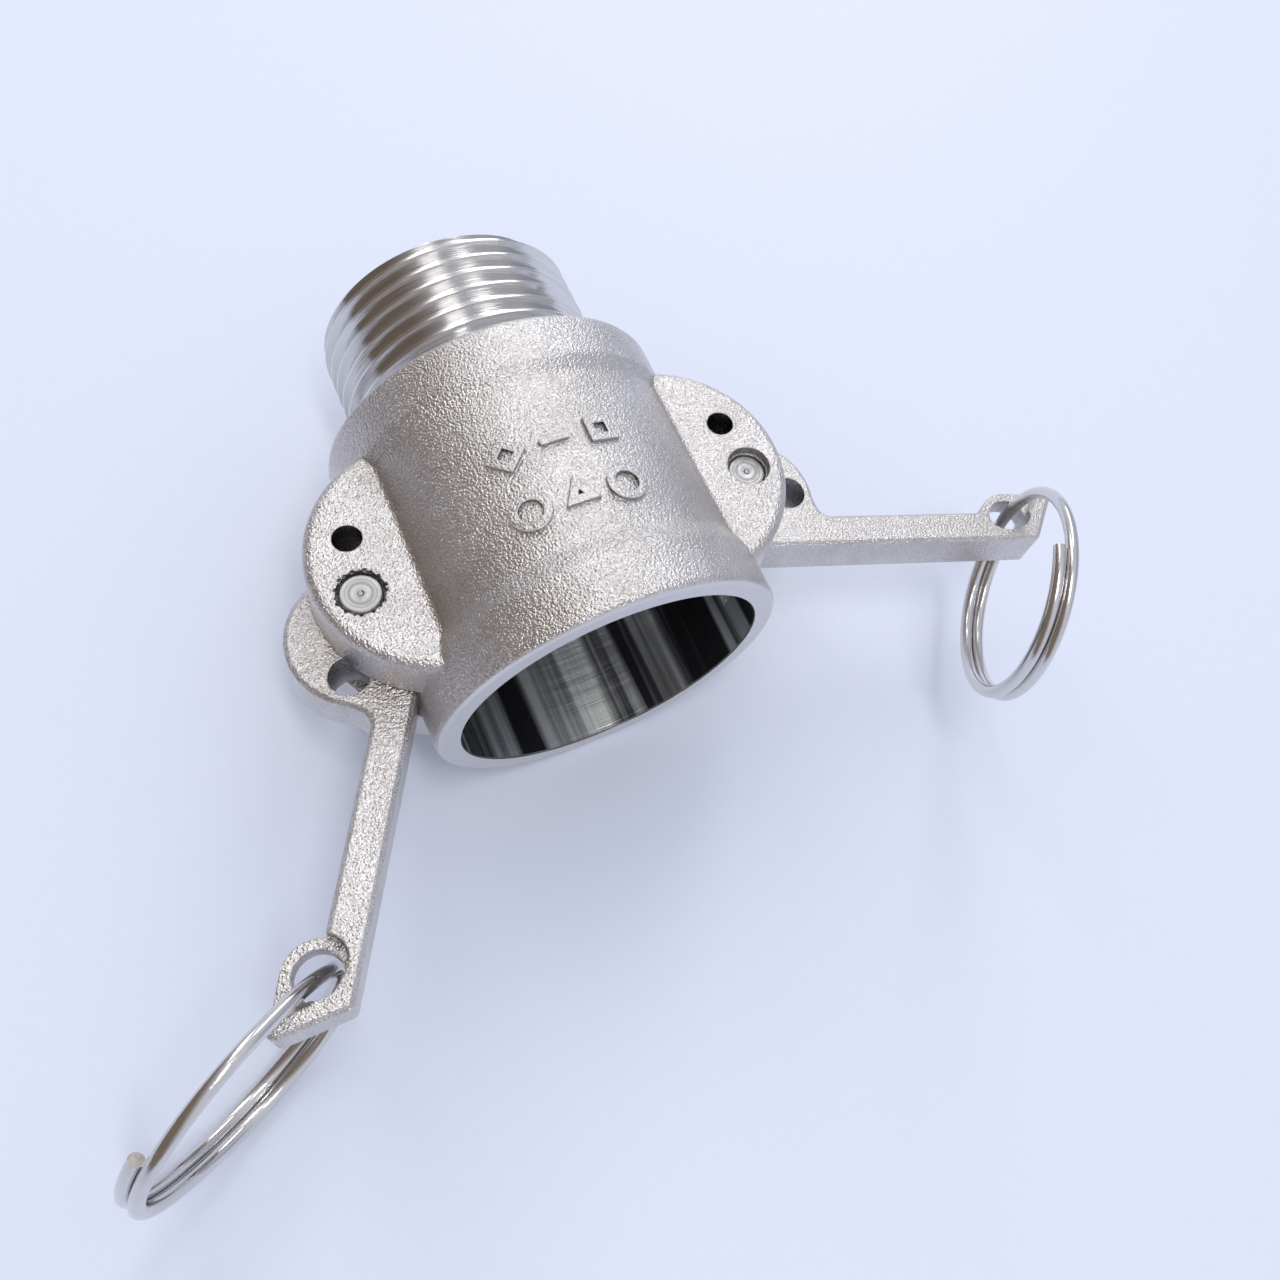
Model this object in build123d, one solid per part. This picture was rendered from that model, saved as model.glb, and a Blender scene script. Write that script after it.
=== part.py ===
from build123d import *
import os
from math import acos, cos, degrees, radians, sin

# A 1 inch camlock coupler: a female cam socket at one end, a male pipe thread at the other,
# and two cam arms that pull the mating adapter against a rubber gasket.
#
# Frame, in millimetres: the origin is the centre of the socket mouth. +Y runs along the flow
# axis from the mouth to the thread. +Z is up, through the upper ears. The two arms swing in
# the XY plane, one on each side.

# Casting, as radii about the flow axis and distances from the mouth.
SOCKET_R = 18.6
RIM_R = 21.45
BARREL_R = 20.6
COLLAR_R = 21.4
WATERWAY_R = 12.75
LENGTH = 56.0
BAND_END = 6.2
BARREL_START = 8.8
BARREL_END = 30.2
COLLAR_START = 32.0
COLLAR_END = 38.0
RIM_FILLET = 0.9
COLLAR_FILLET = 0.8
STEP_FILLET = 1.6

# Male thread, 11 turns to the inch.
THREAD_R = 16.62
THREAD_PITCH = 2.309
THREAD_DEPTH = 1.25
THREAD_CREST = 0.3
THREAD_ROOT = 0.5
GROOVE_RISE = 0.12
TIP_CHAMFER = 0.9
RELIEF_R = 15.0
RELIEF_END = 40.4

# Gasket and the groove that holds it at the inner end of the socket.
GROOVE_START = 29.6
GROOVE_END = 35.8
GROOVE_R = 19.5
GASKET_R = 19.4
GASKET_HOLE_R = 13.5
GASKET_THICKNESS = 6.0
GASKET_FILLET = 0.4

# Ears and pivots. Each side has an upper and a lower ear with the arm between them.
EAR_X = 13.7
EAR_Y = 18.5
EAR_R = 15.0
EAR_FACE = 10.9
EAR_EDGE_FILLET = 1.2
EAR_FOOT_FILLET = 1.0
SLOT_HALF = 3.8
WINDOW_HALF_LENGTH = 10.6
PIVOT_X = 23.8
PIVOT_Y = 15.95
PIN_R = 2.4
PIN_LENGTH = 20.2
PIN_CHAMFER = 0.25
PIN_FIT = 0.06
PIN_RECESS_R = 2.66
PIN_RECESS_DEPTH = 1.3
LEFT_PIN_SINK = 0.3
RIGHT_PIN_SINK = 1.4
SAFETY_HOLE_R = 1.65
SAFETY_HOLE_RADIUS = 6.75
SAFETY_HOLE_ANGLE = 95.9

# Cam arm, in its own frame: the pivot at the origin and the bar along +X.
ARM_HALF = 3.45
LOBE_R = 8.55
LOBE_X = 1.5
LOBE_Y = -0.1
CAM_BACK = 4.9
CAM_BACK_END = 250
BAR_TOP = -2.95
BAR_BOTTOM = -7.1
BAR_START = 2.5
NECK_X = 10.9
ARM_HOLE_R = 2.25
ARM_HOLE_ANGLE = 3.4
ARM_EDGE = 0.5
EYE_X = 37.5
EYE_Y = -2.9
EYE_HOLE_R = 2.55
EYE_OUTER_R = 3.65
EYE_HALF = 1.5
EYE_SCOOP_R = 2.9
EYE_SCOOP_BACK = 1.0
TOE_X = 42.7
TOE_Y = -0.35
TOE_R = 1.1
TOE_ANGLE = 62
NOSE_FILLET = 1.4
NECK_FILLET = 2.0
BAR_CORNER = 0.8

# How far each arm's bar points outward and towards the mouth at rest, in degrees.
RIGHT_ARM_ANGLE = -18.8
LEFT_ARM_ANGLE = -60.2

# Split rings. Each is coiled a little over one and a half turns, and a single strand of it
# passes through the arm's eye. Angles are in degrees.
RING_R = 13.2
WIRE_R = 0.8
RING_PITCH = 1.65
RING_TURNS = 1.65
RING_START = 19
RING_BACK_SET = 0.45
RIGHT_RING_HEADING = 238
RIGHT_RING_DROOP = -15
RIGHT_RING_LEAN = 6
LEFT_RING_HEADING = 208
LEFT_RING_DROOP = 30
LEFT_RING_LEAN = 0

# Raised foundry marks on the front of the barrel, plain outlined shapes in two rows.
MARK_HEIGHT = 0.45
MARK_STROKE = 0.95
MARK_R = 2.3
MARK_SPACING = 5.6
MARK_LOWER_Y = 14.2
MARK_UPPER_Y = 21.6
MARK_BAR_LENGTH = 3.6

# Nicks left round the left pin where its hole was staked.
NICK_COUNT = 17
NICK_R = 0.26
NICK_DEPTH = 0.6


def casting():
    """The turned outline of the casting up to its collar, with fillets at its steps."""
    outline = Polyline(
        (0, 0),
        (RIM_R, 0),
        (RIM_R, BAND_END),
        (BARREL_R, BARREL_START),
        (BARREL_R, BARREL_END),
        (COLLAR_R, COLLAR_START),
        (COLLAR_R, COLLAR_END),
        (0, COLLAR_END),
        close=True,
    )
    section = Sketch() + make_face(outline)
    corners = (
        (RIM_R, 0, RIM_FILLET),
        (RIM_R, BAND_END, STEP_FILLET),
        (BARREL_R, BARREL_START, STEP_FILLET),
        (BARREL_R, BARREL_END, STEP_FILLET),
        (COLLAR_R, COLLAR_START, STEP_FILLET),
        (COLLAR_R, COLLAR_END, COLLAR_FILLET),
    )
    for x, y, radius in corners:
        corner = section.vertices().sort_by_distance((x, y, 0))[0]
        section = fillet(corner, radius)
    return revolve(section, Axis.Y)


def ear(side, level):
    """One ear, a thick round plate that stands out from the barrel."""
    thickness = EAR_FACE - SLOT_HALF
    plate = Cylinder(EAR_R, thickness)
    outer_edge = plate.edges().sort_by(Axis.Z)[-1]
    plate = fillet(outer_edge, EAR_EDGE_FILLET)
    if level < 0:
        plate = mirror(plate, Plane.XY)
    return Pos(side * EAR_X, EAR_Y, level * (SLOT_HALF + thickness / 2)) * plate


def ear_foot(side, level):
    """The cast fillet that blends the top of an ear into the barrel."""
    thickness = EAR_FACE - SLOT_HALF
    section = Circle(BARREL_R)
    section += Pos(side * EAR_R, level * (SLOT_HALF + thickness / 2)) * Rectangle(2 * EAR_R, thickness)
    root_x = side * (BARREL_R**2 - EAR_FACE**2) ** 0.5
    root = section.vertices().sort_by_distance((root_x, level * EAR_FACE, 0))[0]
    section = fillet(root, EAR_FOOT_FILLET)
    prism = extrude(Plane.XZ.offset(-EAR_Y) * section, EAR_R, both=True)
    return prism & Pos(side * EAR_X, EAR_Y) * Cylinder(EAR_R - EAR_EDGE_FILLET, 4 * EAR_FACE)


def socket_and_waterway():
    """The space turned out of the casting: mouth, socket, gasket groove and waterway."""
    return turned(
        (0, -1),
        (SOCKET_R, -1),
        (SOCKET_R, GROOVE_START),
        (GROOVE_R, GROOVE_START),
        (GROOVE_R, GROOVE_END),
        (WATERWAY_R, GROOVE_END),
        (WATERWAY_R, LENGTH + 1),
        (0, LENGTH + 1),
    )


def thread_groove():
    """The helical groove between the thread's crests, from the relief to past the tip."""
    start = (COLLAR_END + RELIEF_END) / 2
    helix = Helix(THREAD_PITCH, LENGTH + 1 - start, THREAD_R, center=(0, start, 0), direction=(0, 1, 0))
    origin = helix @ 0
    outward = Vector(origin.X, 0, origin.Z).normalized()
    plane = Plane(origin=origin, x_dir=outward, z_dir=outward.cross(Vector(0, 1, 0)))
    half_mouth = (THREAD_PITCH - THREAD_CREST) / 2
    half_root = THREAD_ROOT / 2
    half_top = half_mouth + GROOVE_RISE * (half_mouth - half_root) / THREAD_DEPTH
    groove = Polygon(
        (-THREAD_DEPTH, -half_root),
        (GROOVE_RISE, -half_top),
        (GROOVE_RISE, half_top),
        (-THREAD_DEPTH, half_root),
        align=None,
    )
    return sweep(plane * groove, path=helix, is_frenet=True)


def along_flow(start, end, radius):
    """A cylinder about the flow axis."""
    return Pos(0, (start + end) / 2, 0) * Rot(90, 0, 0) * Cylinder(radius, end - start)


def turned(*points):
    """A solid of revolution about the flow axis, from radius and distance pairs."""
    return revolve(make_face(Polyline(*points, close=True)), Axis.Y)


def threaded_spigot():
    """The male thread, with its chamfered tip and the relief behind its last turn."""
    outside = THREAD_R + 1
    spigot = along_flow(RELIEF_END, LENGTH, THREAD_R) - thread_groove()
    spigot -= turned(
        (THREAD_R - TIP_CHAMFER, LENGTH),
        (outside, LENGTH),
        (outside, LENGTH - TIP_CHAMFER - 1),
    )
    spigot -= turned(
        (RELIEF_R, RELIEF_END),
        (outside, RELIEF_END),
        (outside, RELIEF_END + outside - RELIEF_R),
    )
    return spigot + along_flow(COLLAR_END - 1, RELIEF_END, RELIEF_R)


def pivot(side):
    """Where an arm turns, in plan."""
    return Pos(side * PIVOT_X, PIVOT_Y)


def safety_hole(side):
    """Where a safety clip passes through both ears and the closed arm, in plan."""
    x = PIVOT_X + SAFETY_HOLE_RADIUS * cos(radians(SAFETY_HOLE_ANGLE))
    y = PIVOT_Y + SAFETY_HOLE_RADIUS * sin(radians(SAFETY_HOLE_ANGLE))
    return Pos(side * x, y)


def outlined(sides, turn):
    """A regular polygon drawn as one even stroke."""
    inner_r = MARK_R - MARK_STROKE / cos(radians(180 / sides))
    return Rot(0, 0, turn) * (RegularPolygon(MARK_R, sides) - RegularPolygon(inner_r, sides))


def foundry_marks():
    """Plain raised shapes: a diamond, a bar and a square over a ring, a triangle and a ring."""
    circle = Circle(MARK_R) - Circle(MARK_R - MARK_STROKE)
    lower = (circle, outlined(3, 90), circle)
    upper = (outlined(4, 0), SlotOverall(MARK_BAR_LENGTH, MARK_STROKE), outlined(4, 45))
    skin = along_flow(BARREL_START, BARREL_END, BARREL_R + MARK_HEIGHT)
    marks = []
    for row, y in ((lower, MARK_LOWER_Y), (upper, MARK_UPPER_Y)):
        for place, mark in zip((-1, 0, 1), row):
            prism = extrude(Pos(place * MARK_SPACING, y, SOCKET_R) * mark, COLLAR_R - SOCKET_R + 1)
            marks.append(prism & skin)
    return marks


def staking_nicks():
    """Small uneven bites round the mouth of the left pin's hole."""
    nicks = []
    for i in range(NICK_COUNT):
        radius = NICK_R * (1 - 0.18 * (i % 3))
        at = polar(PIN_RECESS_R, 360 * (i + 0.3 * (i * i % 3)) / NICK_COUNT)
        nicks.append(pivot(-1) * Pos(at.X, at.Y, EAR_FACE) * Cylinder(radius, 2 * NICK_DEPTH))
    return nicks


def body():
    """The casting with its ears, machined inside, drilled and threaded."""
    part = casting() + threaded_spigot()
    for side in (-1, 1):
        for level in (-1, 1):
            part += ear(side, level) + ear_foot(side, level)
    for mark in foundry_marks():
        part += mark
    part -= socket_and_waterway()
    depth = 2 * EAR_FACE + 2
    for side in (-1, 1):
        window_x = side * (SOCKET_R + COLLAR_R) / 2
        part -= Pos(window_x, PIVOT_Y, 0) * Box(11, 2 * WINDOW_HALF_LENGTH, 2 * SLOT_HALF)
        part -= pivot(side) * Cylinder(PIN_R, depth)
        part -= safety_hole(side) * Cylinder(SAFETY_HOLE_R, depth)
        for level in (-1, 1):
            recess = Cylinder(PIN_RECESS_R, 2 * PIN_RECESS_DEPTH)
            part -= pivot(side) * Pos(0, 0, level * EAR_FACE) * recess
    for nick in staking_nicks():
        part -= nick
    return part


def gasket():
    """The flat rubber ring that lies on the far wall of its groove."""
    ring = Cylinder(GASKET_R, GASKET_THICKNESS) - Cylinder(GASKET_HOLE_R, GASKET_THICKNESS)
    ring = fillet(ring.edges().filter_by(GeomType.CIRCLE), GASKET_FILLET)
    return Pos(0, GROOVE_END - GASKET_THICKNESS / 2, 0) * Rot(90, 0, 0) * ring


def polar(radius, angle):
    """A point in plan at a radius and an angle in degrees."""
    return Vector(radius * cos(radians(angle)), radius * sin(radians(angle)))


def arm_outline():
    """The cam head, bar and toe as one flat outline, with its corners rounded."""
    toe = Vector(TOE_X, TOE_Y)
    reach = polar(1, TOE_ANGLE)
    outer = toe + polar(TOE_R, TOE_ANGLE - 90)
    inner = toe - polar(TOE_R, TOE_ANGLE - 90)
    heel = outer - reach * ((outer.Y - BAR_BOTTOM) / reach.Y)
    instep = inner - reach * ((inner.Y - BAR_TOP) / reach.Y)
    lobe = Vector(LOBE_X, LOBE_Y)
    nose_angle = degrees(acos(-(CAM_BACK + LOBE_X) / LOBE_R))
    nose = lobe + polar(LOBE_R, nose_angle)
    shoulder = lobe + Vector(LOBE_R, 0)
    neck = Vector(NECK_X, BAR_TOP)
    chin = Vector(BAR_START, BAR_BOTTOM)
    back_start = Vector(-CAM_BACK, 0)
    back_end = polar(CAM_BACK, CAM_BACK_END)
    outline = [
        Line(chin, heel),
        Line(heel, outer),
        ThreePointArc(outer, toe + reach * TOE_R, inner),
        Line(inner, instep),
        Line(instep, neck),
        Line(neck, shoulder),
        ThreePointArc(shoulder, lobe + polar(LOBE_R, nose_angle / 2), nose),
        Line(nose, back_start),
        ThreePointArc(back_start, polar(CAM_BACK, (180 + CAM_BACK_END) / 2), back_end),
        Line(back_end, chin),
    ]
    section = Sketch() + make_face(outline)
    corners = (
        (nose, NOSE_FILLET),
        (neck, NECK_FILLET),
        (shoulder, NECK_FILLET),
        (instep, TOE_R),
        (heel, BAR_CORNER),
        (chin, BAR_CORNER),
        (back_end, NECK_FILLET),
    )
    for point, radius in corners:
        corner = section.vertices().sort_by_distance(point)[0]
        section = fillet(corner, radius)
    return section


def eye_web():
    """The thin loop of metal between the bar and its toe that holds the ring."""
    web = Pos(EYE_X, EYE_Y) * Circle(EYE_OUTER_R)
    web += Polygon(
        (EYE_X, EYE_Y),
        (EYE_X, EYE_Y + EYE_OUTER_R),
        (TOE_X, TOE_Y + TOE_R - 0.2),
        (EYE_X + EYE_OUTER_R, BAR_BOTTOM + 2 * TOE_R),
        align=None,
    )
    return web


def arm():
    """A cam arm in its own frame."""
    plate = extrude(arm_outline(), ARM_HALF, both=True)
    rims = ShapeList()
    for face in plate.faces().filter_by(Axis.Z):
        rims += face.edges()
    plate = chamfer(rims, ARM_EDGE)
    for level in (-1, 1):
        at = Pos(EYE_X - EYE_SCOOP_BACK, EYE_Y, level * (EYE_HALF + ARM_HALF))
        plate -= at * Cylinder(EYE_SCOOP_R, 2 * ARM_HALF)
    plate += extrude(eye_web(), EYE_HALF, both=True)
    plate -= Pos(EYE_X, EYE_Y) * Cylinder(EYE_HOLE_R, 4 * ARM_HALF)
    plate -= Cylinder(PIN_R + PIN_FIT, 4 * ARM_HALF)
    hole_x = SAFETY_HOLE_RADIUS * cos(radians(ARM_HOLE_ANGLE))
    hole_y = SAFETY_HOLE_RADIUS * sin(radians(ARM_HOLE_ANGLE))
    return plate - Pos(hole_x, hole_y) * Cylinder(ARM_HOLE_R, 4 * ARM_HALF)


def placed_on_arm(side, angle, thing):
    """Move something from an arm's own frame to where the arm rests."""
    placed = Pos(PIVOT_X, PIVOT_Y) * Rot(0, 0, angle) * thing
    return placed if side > 0 else mirror(placed, Plane.YZ)


def pivot_pin(side, sink):
    """A plain pin through both ears and the arm, sunk below the upper ear's face."""
    pin = Cylinder(PIN_R, PIN_LENGTH)
    pin = chamfer(pin.edges().filter_by(GeomType.CIRCLE), PIN_CHAMFER)
    return pivot(side) * Pos(0, 0, EAR_FACE - sink - PIN_LENGTH / 2) * pin


def pull_ring(side, arm_angle, heading, droop, lean):
    """A split ring that stands on edge through an arm's eye.

    heading is the plan direction from the eye to the ring's centre, droop is how far that
    direction dips, and lean is how far the ring's plane is from upright.
    """
    rise_to_eye = RING_PITCH * (1 - RING_START / 360)
    coil = Helix(RING_PITCH, RING_PITCH * RING_TURNS, RING_R, center=(0, 0, -rise_to_eye))
    section = Plane(origin=coil @ 0, z_dir=coil % 0) * Circle(WIRE_R)
    ring = sweep(section, path=coil, is_frenet=True)
    turn = radians(arm_angle)
    eye = Vector(
        side * (PIVOT_X + EYE_X * cos(turn) - EYE_Y * sin(turn)),
        PIVOT_Y + EYE_X * sin(turn) + EYE_Y * cos(turn),
    )
    level = Vector(cos(radians(heading)), sin(radians(heading)), 0)
    towards = level * cos(radians(droop)) - Vector(0, 0, sin(radians(droop)))
    centre = eye - level * RING_BACK_SET + towards * RING_R
    upright = towards.cross(Vector(0, 0, 1)).normalized()
    axis = upright.rotate(Axis((0, 0, 0), towards), -lean)
    seat = Plane(origin=centre, x_dir=towards * -1, z_dir=axis)
    return seat.location * Rot(0, 0, RING_START) * ring


def main():
    nodes = {
        "body": body(),
        "gasket": gasket(),
        "left_cam_arm": placed_on_arm(-1, LEFT_ARM_ANGLE, arm()),
        "right_cam_arm": placed_on_arm(1, RIGHT_ARM_ANGLE, arm()),
        "left_pivot_pin": pivot_pin(-1, LEFT_PIN_SINK),
        "right_pivot_pin": pivot_pin(1, RIGHT_PIN_SINK),
        "left_pull_ring": pull_ring(
            -1, LEFT_ARM_ANGLE, LEFT_RING_HEADING, LEFT_RING_DROOP, LEFT_RING_LEAN
        ),
        "right_pull_ring": pull_ring(
            1, RIGHT_ARM_ANGLE, RIGHT_RING_HEADING, RIGHT_RING_DROOP, RIGHT_RING_LEAN
        ),
    }
    os.makedirs("parts", exist_ok=True)
    for name, shape in nodes.items():
        export_step(shape, f"parts/{name}.step")


main()
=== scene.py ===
from math import pi

import bpy
from mathutils import Matrix, Vector


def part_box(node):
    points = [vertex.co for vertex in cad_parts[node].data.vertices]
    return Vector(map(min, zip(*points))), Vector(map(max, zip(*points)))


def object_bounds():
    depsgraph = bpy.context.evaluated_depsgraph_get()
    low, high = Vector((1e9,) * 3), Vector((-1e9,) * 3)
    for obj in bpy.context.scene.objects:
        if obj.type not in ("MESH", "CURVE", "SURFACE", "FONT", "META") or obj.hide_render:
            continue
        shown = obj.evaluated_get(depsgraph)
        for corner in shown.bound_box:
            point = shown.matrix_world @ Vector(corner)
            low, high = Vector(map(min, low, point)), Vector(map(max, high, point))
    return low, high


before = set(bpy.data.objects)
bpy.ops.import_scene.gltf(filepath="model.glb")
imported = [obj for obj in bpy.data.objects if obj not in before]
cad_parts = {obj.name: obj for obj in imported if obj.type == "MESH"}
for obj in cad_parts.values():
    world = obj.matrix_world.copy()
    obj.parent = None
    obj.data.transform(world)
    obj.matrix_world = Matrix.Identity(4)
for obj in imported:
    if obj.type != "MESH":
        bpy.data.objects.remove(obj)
cad_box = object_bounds()

MM = 0.001

# Camera, in the row frame.
CAMERA_AT = (-0.0344, -0.0433, 0.1324)
CAMERA_RIGHT = Vector((0.8746, -0.4418, 0.1996))
CAMERA_DOWN = Vector((-0.3061, -0.8226, -0.4792))
CAMERA_FORWARD = Vector((0.3759, 0.3581, -0.8547))
LENS_MM = 33.9
SENSOR_MM = 36.0
SHIFT_X = -0.082
SHIFT_Y = -0.083
CLIP_NEAR = 0.005
CLIP_FAR = 20

# The lamps. Each hangs in a direction from the middle of the object and is long along the flow axis.
MIDDLE = Vector((0.0, 0.03, 0.0))
LAMP_DISTANCE = 0.6
LAMPS = {
    "left_lamp": dict(
        towards=(-0.13, 0.60, 0.78), width=0.16, length=0.50, glow=1.7, color=(1.0, 0.985, 0.97)),
    "right_lamp": dict(
        towards=(0.50, 0.60, 0.63), width=0.16, length=0.50, glow=3.1, color=(0.97, 0.98, 1.0)),
    "mouth_lamp": dict(
        towards=(0.0, -0.32, 0.95), width=0.05, length=0.26, glow=20.0, color=(0.96, 0.98, 1.0)),
}

# The room that the metal reflects, from left to right, with the span of X where each part fades in.
DIM_SIDE = (0.22, 0.178, 0.15, 1)
PALE_SIDE = (0.70, 0.72, 0.80, 1)
PALE_FROM = (-0.65, 0.10)
FAR_SIDE = (0.44, 0.47, 0.56, 1)
FAR_FROM = (0.55, 0.80)

# A window in the room: its direction, and how near to that the light fades in.
WINDOW = (0.64, 0.66, 0.72, 1)
WINDOW_SIDE = Vector((0.58, 0.26, 0.77)).normalized()
WINDOW_FROM = (0.80, 0.97)

# What lights the matte surfaces, and what the camera sees behind the floor.
FILL = (0.555, 0.59, 0.705, 1)
BACKDROP = (0.45, 0.48, 0.60, 1)

# The floor: half its width, and its gap under the object.
FLOOR_REACH = 3.0
FLOOR_GAP = 0.02 * MM

# Where the turned and the as-cast surfaces of the body meet.
BORE_EDGE = 18.75 * MM
THREAD_SIDE = 38.06 * MM
SOCKET_END = 30.0 * MM
RIM_FACE = 0.25 * MM

# Colours of the cast skin. The pit colour is painted shade, the peak colour a painted highlight, the
# edge colour partly wear and partly a painted highlight, and the hollow colour painted shade.
CAST_DULL = (0.60, 0.565, 0.54, 1)
CAST_PALE = (0.70, 0.67, 0.65, 1)
CAST_PIT_SHADE = (0.26, 0.235, 0.215, 1)
CAST_PEAK_HIGHLIGHT = (0.90, 0.885, 0.87, 1)
CAST_EDGE_WEAR_AND_HIGHLIGHT = (0.82, 0.81, 0.80, 1)
CAST_HOLLOW_SHADE = (0.03, 0.027, 0.025, 1)

# Colours of the turned surfaces. The three bore colours are painted reflections: dark and bright
# bands along the bore.
TURNED_DULL = (0.60, 0.585, 0.57, 1)
TURNED_BRIGHT = (0.80, 0.79, 0.78, 1)
BORE_REFLECTION_DARK = (0.04, 0.04, 0.045, 1)
BORE_REFLECTION_WARM = (1.0, 0.93, 0.80, 1)
BORE_REFLECTION_COOL = (0.78, 0.90, 1.0, 1)

# Colours of the pins, the wire, the rubber and the floor.
PIN_DARK = (0.28, 0.27, 0.265, 1)
PIN_PALE = (0.50, 0.49, 0.48, 1)
PIN_SCUFF = (0.36, 0.35, 0.34, 1)
WIRE_DULL = (0.62, 0.60, 0.58, 1)
WIRE_BRIGHT = (0.76, 0.75, 0.74, 1)
RUBBER_BLACK = (0.012, 0.012, 0.013, 1)
RUBBER_BLOOM = (0.03, 0.03, 0.032, 1)
FLOOR_DULL = (0.80, 0.82, 0.90, 1)
FLOOR_PALE = (0.82, 0.84, 0.92, 1)

# Grain sizes, in features per metre.
PEBBLES = 3100
FINE_GRAIN = 5200
SWELLS = 420
MOTTLES = 120
TOOL_LINES = 9000
PIN_RINGS = 1900

# How far each surface's grain stands proud.
BODY_GRAIN = 0.125 * MM
ARM_GRAIN = 0.115 * MM
LINE_GRAIN = 0.02 * MM
PIN_GRAIN = 0.09 * MM
WIRE_GRAIN = 0.006 * MM
RUBBER_GRAIN = 0.03 * MM
FLOOR_GRAIN = 0.02 * MM

# How far across a hollow may be, to count as one, for the painted shade in holes and corners.
SHADE_REACH = 5.0 * MM

# How far an edge is rounded for the light.
BODY_EDGE = 0.35 * MM
TURNED_EDGE = 0.06 * MM
ARM_EDGE = 0.3 * MM
PIN_EDGE = 0.15 * MM

# The centre mark on a pin's end.
PIN_DOT_OUTER = 0.42 * MM
PIN_DOT_INNER = 0.22 * MM

# For each kind of Mix node, its first value's input and its output.
MIX_SOCKETS = {"FLOAT": (2, 0), "VECTOR": (4, 1), "RGBA": (6, 2)}


class Graph:
    """A node tree, built one call at a time."""

    def __init__(self, owner, coordinate):
        owner.use_nodes = True
        self.tree = owner.node_tree
        self.place = self.add("ShaderNodeTexCoord").outputs[coordinate]

    def add(self, kind, **settings):
        node = self.tree.nodes.new(kind)
        for name, value in settings.items():
            setattr(node, name, value)
        return node

    def put(self, socket, value):
        """Link a socket to another, or set its value."""
        if isinstance(value, bpy.types.NodeSocket):
            self.tree.links.new(value, socket)
        elif value is not None:
            socket.default_value = value

    def fill(self, node, values):
        """Put values into a node's first sockets, in order."""
        for socket, value in zip(node.inputs, values):
            self.put(socket, value)

    def math(self, operation, *values):
        node = self.add("ShaderNodeMath", operation=operation)
        self.fill(node, values)
        return node.outputs[0]

    def vector(self, operation, *values):
        node = self.add("ShaderNodeVectorMath", operation=operation)
        self.fill(node, values)
        return node.outputs["Value" if operation in ("DOT_PRODUCT", "LENGTH") else "Vector"]

    def remap(self, value, low, high, to_low=0.0, to_high=1.0):
        """A smooth step from to_low at low to to_high at high."""
        node = self.add("ShaderNodeMapRange", interpolation_type="SMOOTHSTEP")
        self.fill(node, (value, low, high, to_low, to_high))
        return node.outputs[0]

    def mix(self, share, a, b, kind="FLOAT"):
        """a where share is 0, b where it is 1."""
        node = self.add("ShaderNodeMix", data_type=kind)
        first, result = MIX_SOCKETS[kind]
        self.put(node.inputs[0], share)
        self.put(node.inputs[first], a)
        self.put(node.inputs[first + 1], b)
        return node.outputs[result]

    def mix_color(self, share, a, b):
        return self.mix(share, a, b, "RGBA")

    def shade(self, color, mask, amount, over):
        """A colour laid over another where the mask is 1, up to an amount."""
        return self.mix_color(self.math("MULTIPLY", mask, amount), color, over)

    def split(self, vector):
        node = self.add("ShaderNodeSeparateXYZ")
        self.put(node.inputs[0], vector)
        return node.outputs

    def along_x(self, value):
        """A vector that is a value along X and 0 along the others."""
        node = self.add("ShaderNodeCombineXYZ")
        self.fill(node, (value, 0.0, 0.0))
        return node.outputs[0]

    def stretched(self, x, y, z):
        """The place on the object, with each axis scaled to features per metre."""
        return self.vector("MULTIPLY", self.place, (x, y, z))

    def even(self, features):
        """The place on the object, scaled to features per metre."""
        return self.stretched(features, features, features)

    def noise(self, place, detail=2.0, roughness=0.5):
        node = self.add("ShaderNodeTexNoise")
        self.put(node.inputs["Vector"], place)
        self.put(node.inputs["Scale"], 1.0)
        self.put(node.inputs["Detail"], detail)
        self.put(node.inputs["Roughness"], roughness)
        return node.outputs["Fac"]

    def pebbles(self, place):
        node = self.add("ShaderNodeTexVoronoi", feature="SMOOTH_F1")
        self.put(node.inputs["Vector"], place)
        self.put(node.inputs["Scale"], 1.0)
        self.put(node.inputs["Smoothness"], 0.6)
        return node.outputs["Distance"]

    def soft_edge(self, radius):
        """The surface normal with its sharp edges rounded off for the light."""
        node = self.add("ShaderNodeBevel", samples=4)
        self.put(node.inputs["Radius"], radius)
        return node.outputs["Normal"]

    def edges(self, rounded):
        """1 along sharp edges, 0 on open faces."""
        true_normal = self.add("ShaderNodeNewGeometry").outputs["True Normal"]
        flatness = self.vector("DOT_PRODUCT", rounded, true_normal)
        return self.remap(flatness, 0.985, 0.9)

    def painted_hollow_shade(self, reach):
        """Where shade is painted: 1 deep inside holes and tight corners, 0 on open faces."""
        node = self.add("ShaderNodeAmbientOcclusion", samples=4, only_local=True)
        self.put(node.inputs["Distance"], reach)
        return self.remap(node.outputs["AO"], 0.60, 0.28)

    def bump(self, height, distance, normal=None, strength=1.0):
        node = self.add("ShaderNodeBump")
        self.put(node.inputs["Strength"], strength)
        self.put(node.inputs["Distance"], distance)
        self.put(node.inputs["Height"], height)
        self.put(node.inputs["Normal"], normal)
        return node.outputs["Normal"]


class Surface(Graph):
    """A material's node tree."""

    def __init__(self, name):
        self.material = bpy.data.materials.new(name)
        super().__init__(self.material, "Object")

    def finish(self, color, roughness, normal, metallic=1.0):
        shader = self.tree.nodes["Principled BSDF"]
        self.put(shader.inputs["Base Color"], color)
        self.put(shader.inputs["Roughness"], roughness)
        self.put(shader.inputs["Normal"], normal)
        shader.inputs["Metallic"].default_value = metallic
        return self.material


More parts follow.
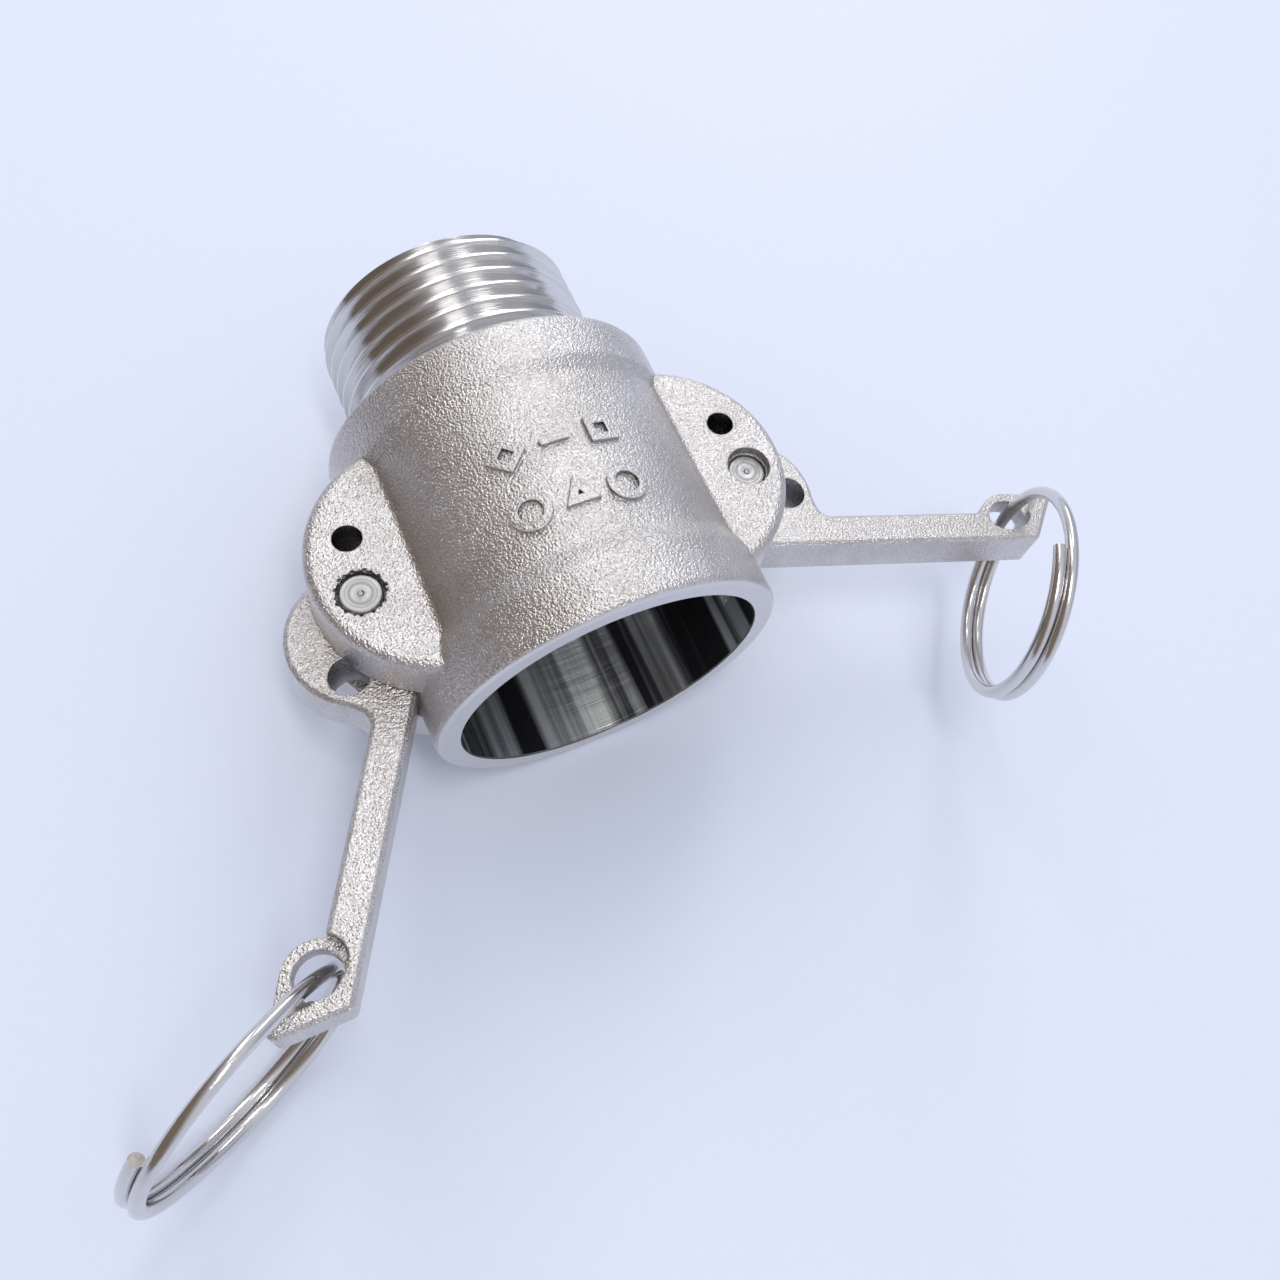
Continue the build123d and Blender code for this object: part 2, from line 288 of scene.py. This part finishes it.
def cast_skin(g, rounded):
    """Colour, roughness and height of satin investment-cast stainless steel, with painted shade in
    the pits and hollows and painted highlights on the peaks and edges.
    """
    pebble = g.pebbles(g.even(PEBBLES))
    fine = g.noise(g.even(FINE_GRAIN), detail=1)
    swell = g.noise(g.even(SWELLS), detail=2)
    height = g.math("MULTIPLY_ADD", pebble, -0.8, g.math("MULTIPLY", fine, 0.9))
    height = g.math("MULTIPLY_ADD", swell, 0.4, height)
    mottle = g.noise(g.even(MOTTLES), detail=4, roughness=0.6)
    color = g.mix_color(g.remap(mottle, 0.35, 0.68), CAST_DULL, CAST_PALE)
    # Painted shade in the grain's pits and painted highlights on its peaks.
    color = g.shade(color, g.remap(fine, 0.40, 0.28), 0.6, CAST_PIT_SHADE)
    color = g.shade(color, g.remap(fine, 0.52, 0.68), 0.35, CAST_PEAK_HIGHLIGHT)
    edge = g.edges(rounded)
    # Edges lightened: partly polished wear, partly a painted highlight.
    color = g.shade(color, edge, 0.5, CAST_EDGE_WEAR_AND_HIGHLIGHT)
    # Painted shade: holes and tight corners darkened nearly to black.
    color = g.shade(color, g.painted_hollow_shade(SHADE_REACH), 0.92, CAST_HOLLOW_SHADE)
    roughness = g.mix(edge, g.remap(fine, 0.3, 0.7, 0.38, 0.27), 0.22)
    return color, roughness, height


def painted_bore_reflections(g):
    """Painted reflections in the honed socket: bright and dark streaks along it, some warm and some
    cool.
    """
    reflection_streak = g.remap(g.noise(g.stretched(290, 6, 290), detail=3, roughness=0.6), 0.40, 0.64)
    reflection_tint = g.mix_color(g.noise(g.stretched(140, 4, 140)), BORE_REFLECTION_WARM, BORE_REFLECTION_COOL)
    return g.mix_color(reflection_streak, BORE_REFLECTION_DARK, reflection_tint)


def body_material():
    """The body: as cast outside, turned in the bore, on the rim and along the thread."""
    g = Surface("stainless_body")
    along = g.split(g.place)["Y"]
    radius = g.vector("LENGTH", g.vector("MULTIPLY", g.place, (1, 0, 1)))

    # Masks, 1 where each turned surface is.
    inside = g.math("LESS_THAN", radius, BORE_EDGE)
    thread = g.math("GREATER_THAN", along, THREAD_SIDE)
    rim = g.math("LESS_THAN", along, RIM_FACE)
    turned = g.math("MAXIMUM", g.math("MAXIMUM", inside, thread), rim)
    bore = g.math("MULTIPLY", inside, g.math("LESS_THAN", along, SOCKET_END))
    bore = g.math("MULTIPLY", bore, g.math("SUBTRACT", 1.0, rim))

    # Tool lines run round the axis, and in circles on the rim.
    side_lines = g.noise(g.stretched(25, TOOL_LINES, 25), detail=2, roughness=0.6)
    face_lines = g.noise(g.along_x(g.math("MULTIPLY", radius, TOOL_LINES)), detail=2)
    lines = g.mix(rim, side_lines, face_lines)
    chatter = g.noise(g.stretched(90, 700, 90), detail=2)
    turned_rough = g.remap(chatter, 0.3, 0.7, 0.09, 0.16)
    turned_rough = g.mix(rim, turned_rough, 0.30)
    turned_rough = g.mix(bore, turned_rough, 0.38)
    turned_color = g.mix_color(lines, TURNED_DULL, TURNED_BRIGHT)
    # The bore's colour is painted reflections: streaks laid into the colour, not the metal's own
    # tone.
    turned_color = g.mix_color(bore, turned_color, painted_bore_reflections(g))

    rounded = g.soft_edge(BODY_EDGE)
    cast_color, cast_rough, grain = cast_skin(g, rounded)
    color = g.mix_color(turned, cast_color, turned_color)
    roughness = g.mix(turned, cast_rough, turned_rough)
    normal = g.mix(turned, rounded, g.soft_edge(TURNED_EDGE), "VECTOR")
    normal = g.bump(grain, BODY_GRAIN, normal, g.math("SUBTRACT", 1.0, turned))
    line_relief = g.math("MULTIPLY", lines, g.mix(bore, 1.0, 2.2))
    normal = g.bump(line_relief, LINE_GRAIN, normal, turned)
    return g.finish(color, roughness, normal)


def arm_material():
    """The cam arms: the same casting finish, rubbed brighter along the edges, partly wear and partly
    a painted highlight.
    """
    g = Surface("stainless_arm")
    rounded = g.soft_edge(ARM_EDGE)
    color, roughness, grain = cast_skin(g, rounded)
    return g.finish(color, roughness, g.bump(grain, ARM_GRAIN, rounded))


def pin_material(name, node):
    """A turned pin end, with rings about the pin's own axis and a dot at its centre."""
    g = Surface(name)
    low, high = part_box(node)
    middle = (low + high) / 2
    flat = g.vector("MULTIPLY", g.vector("SUBTRACT", g.place, tuple(middle)), (1, 1, 0))
    radius = g.vector("LENGTH", flat)
    rings = g.noise(g.along_x(g.math("MULTIPLY", radius, PIN_RINGS)), detail=2)
    dot = g.remap(radius, PIN_DOT_OUTER, PIN_DOT_INNER)
    scuffs = g.noise(g.even(900), detail=4, roughness=0.6)
    color = g.mix_color(g.remap(rings, 0.35, 0.6), PIN_DARK, PIN_PALE)
    color = g.mix_color(g.remap(scuffs, 0.5, 0.75), color, PIN_SCUFF)
    roughness = g.remap(scuffs, 0.3, 0.7, 0.30, 0.44)
    height = g.math("MULTIPLY_ADD", dot, -1.2, rings)
    return g.finish(color, roughness, g.bump(height, PIN_GRAIN, g.soft_edge(PIN_EDGE)))


def wire_material():
    """Polished spring wire with faint drawing marks and handling scuffs."""
    g = Surface("polished_wire")
    scuffs = g.noise(g.even(1600), detail=4, roughness=0.65)
    patches = g.noise(g.even(160), detail=2)
    color = g.mix_color(patches, WIRE_DULL, WIRE_BRIGHT)
    roughness = g.remap(scuffs, 0.3, 0.7, 0.10, 0.22)
    return g.finish(color, roughness, g.bump(scuffs, WIRE_GRAIN))


def rubber_material():
    """Matte black nitrile rubber with a slightly grainy face."""
    g = Surface("nitrile_rubber")
    grain = g.noise(g.even(2600), detail=3)
    bloom = g.noise(g.even(180), detail=3)
    color = g.mix_color(bloom, RUBBER_BLACK, RUBBER_BLOOM)
    roughness = g.remap(grain, 0.3, 0.7, 0.55, 0.75)
    return g.finish(color, roughness, g.bump(grain, RUBBER_GRAIN), metallic=0.0)


def floor_material():
    """A plain pale sheet with the faintest of paper grain."""
    g = Surface("pale_floor")
    grain = g.noise(g.even(900), detail=3)
    color = g.mix_color(grain, FLOOR_DULL, FLOOR_PALE)
    return g.finish(color, 0.65, g.bump(grain, FLOOR_GRAIN), metallic=0.0)


def paint(node, material):
    """Give a CAD node one material."""
    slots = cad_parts[node].data.materials
    slots.clear()
    slots.append(material)


def make_floor():
    """A wide sheet just under the lowest point of the object."""
    low = cad_box[0].z - FLOOR_GAP
    turns = ((-1, -1), (1, -1), (1, 1), (-1, 1))
    mesh = bpy.data.meshes.new("floor")
    mesh.from_pydata([(x * FLOOR_REACH, y * FLOOR_REACH, low) for x, y in turns], [], [(0, 1, 2, 3)])
    floor = bpy.data.objects.new("floor", mesh)
    bpy.context.scene.collection.objects.link(floor)
    mesh.materials.append(floor_material())


def softbox(name, towards, width, length, glow, color):
    """An area light that hangs in a direction from the object and faces it."""
    data = bpy.data.lights.new(name, "AREA")
    data.shape = "RECTANGLE"
    data.size = width
    data.size_y = length
    data.energy = glow * width * length * pi
    data.color = color
    light = bpy.data.objects.new(name, data)
    bpy.context.scene.collection.objects.link(light)
    light.visible_camera = False
    towards = Vector(towards).normalized()
    light.location = MIDDLE + towards * LAMP_DISTANCE
    light.rotation_mode = "QUATERNION"
    light.rotation_quaternion = towards.to_track_quat("Z", "Y")


def make_world():
    """A pale room that is dim and warm on the left, and a plain backdrop for the camera."""
    world = bpy.data.worlds.new("studio")
    bpy.context.scene.world = world
    g = Graph(world, "Generated")
    right = g.split(g.place)["X"]
    room = g.mix_color(g.remap(right, *PALE_FROM), DIM_SIDE, PALE_SIDE)
    room = g.mix_color(g.remap(right, *FAR_FROM), room, FAR_SIDE)
    towards_window = g.vector("DOT_PRODUCT", g.place, WINDOW_SIDE)
    room = g.mix_color(g.remap(towards_window, *WINDOW_FROM), room, WINDOW)
    path = g.add("ShaderNodeLightPath").outputs
    room = g.mix_color(path["Is Diffuse Ray"], room, FILL)
    background = g.tree.nodes["Background"]
    g.put(background.inputs["Color"], g.mix_color(path["Is Camera Ray"], room, BACKDROP))
    background.inputs["Strength"].default_value = 1.0


def make_camera():
    """The camera at the photograph's angle."""
    data = bpy.data.cameras.new("camera")
    data.lens = LENS_MM
    data.sensor_width = SENSOR_MM
    data.shift_x = SHIFT_X
    data.shift_y = SHIFT_Y
    data.clip_start = CLIP_NEAR
    data.clip_end = CLIP_FAR
    camera = bpy.data.objects.new("camera", data)
    bpy.context.scene.collection.objects.link(camera)
    turn = Matrix((CAMERA_RIGHT, -CAMERA_DOWN, -CAMERA_FORWARD)).transposed()
    camera.matrix_world = Matrix.Translation(CAMERA_AT) @ turn.to_4x4()
    bpy.context.scene.camera = camera


paint("body", body_material())
arm_look = arm_material()
wire_look = wire_material()
for side in ("left", "right"):
    paint(f"{side}_cam_arm", arm_look)
    paint(f"{side}_pull_ring", wire_look)
    paint(f"{side}_pivot_pin", pin_material(f"turned_{side}_pin", f"{side}_pivot_pin"))
paint("gasket", rubber_material())
bpy.context.scene.view_settings.view_transform = "Standard"
make_floor()
make_world()
for lamp, settings in LAMPS.items():
    softbox(lamp, **settings)
make_camera()
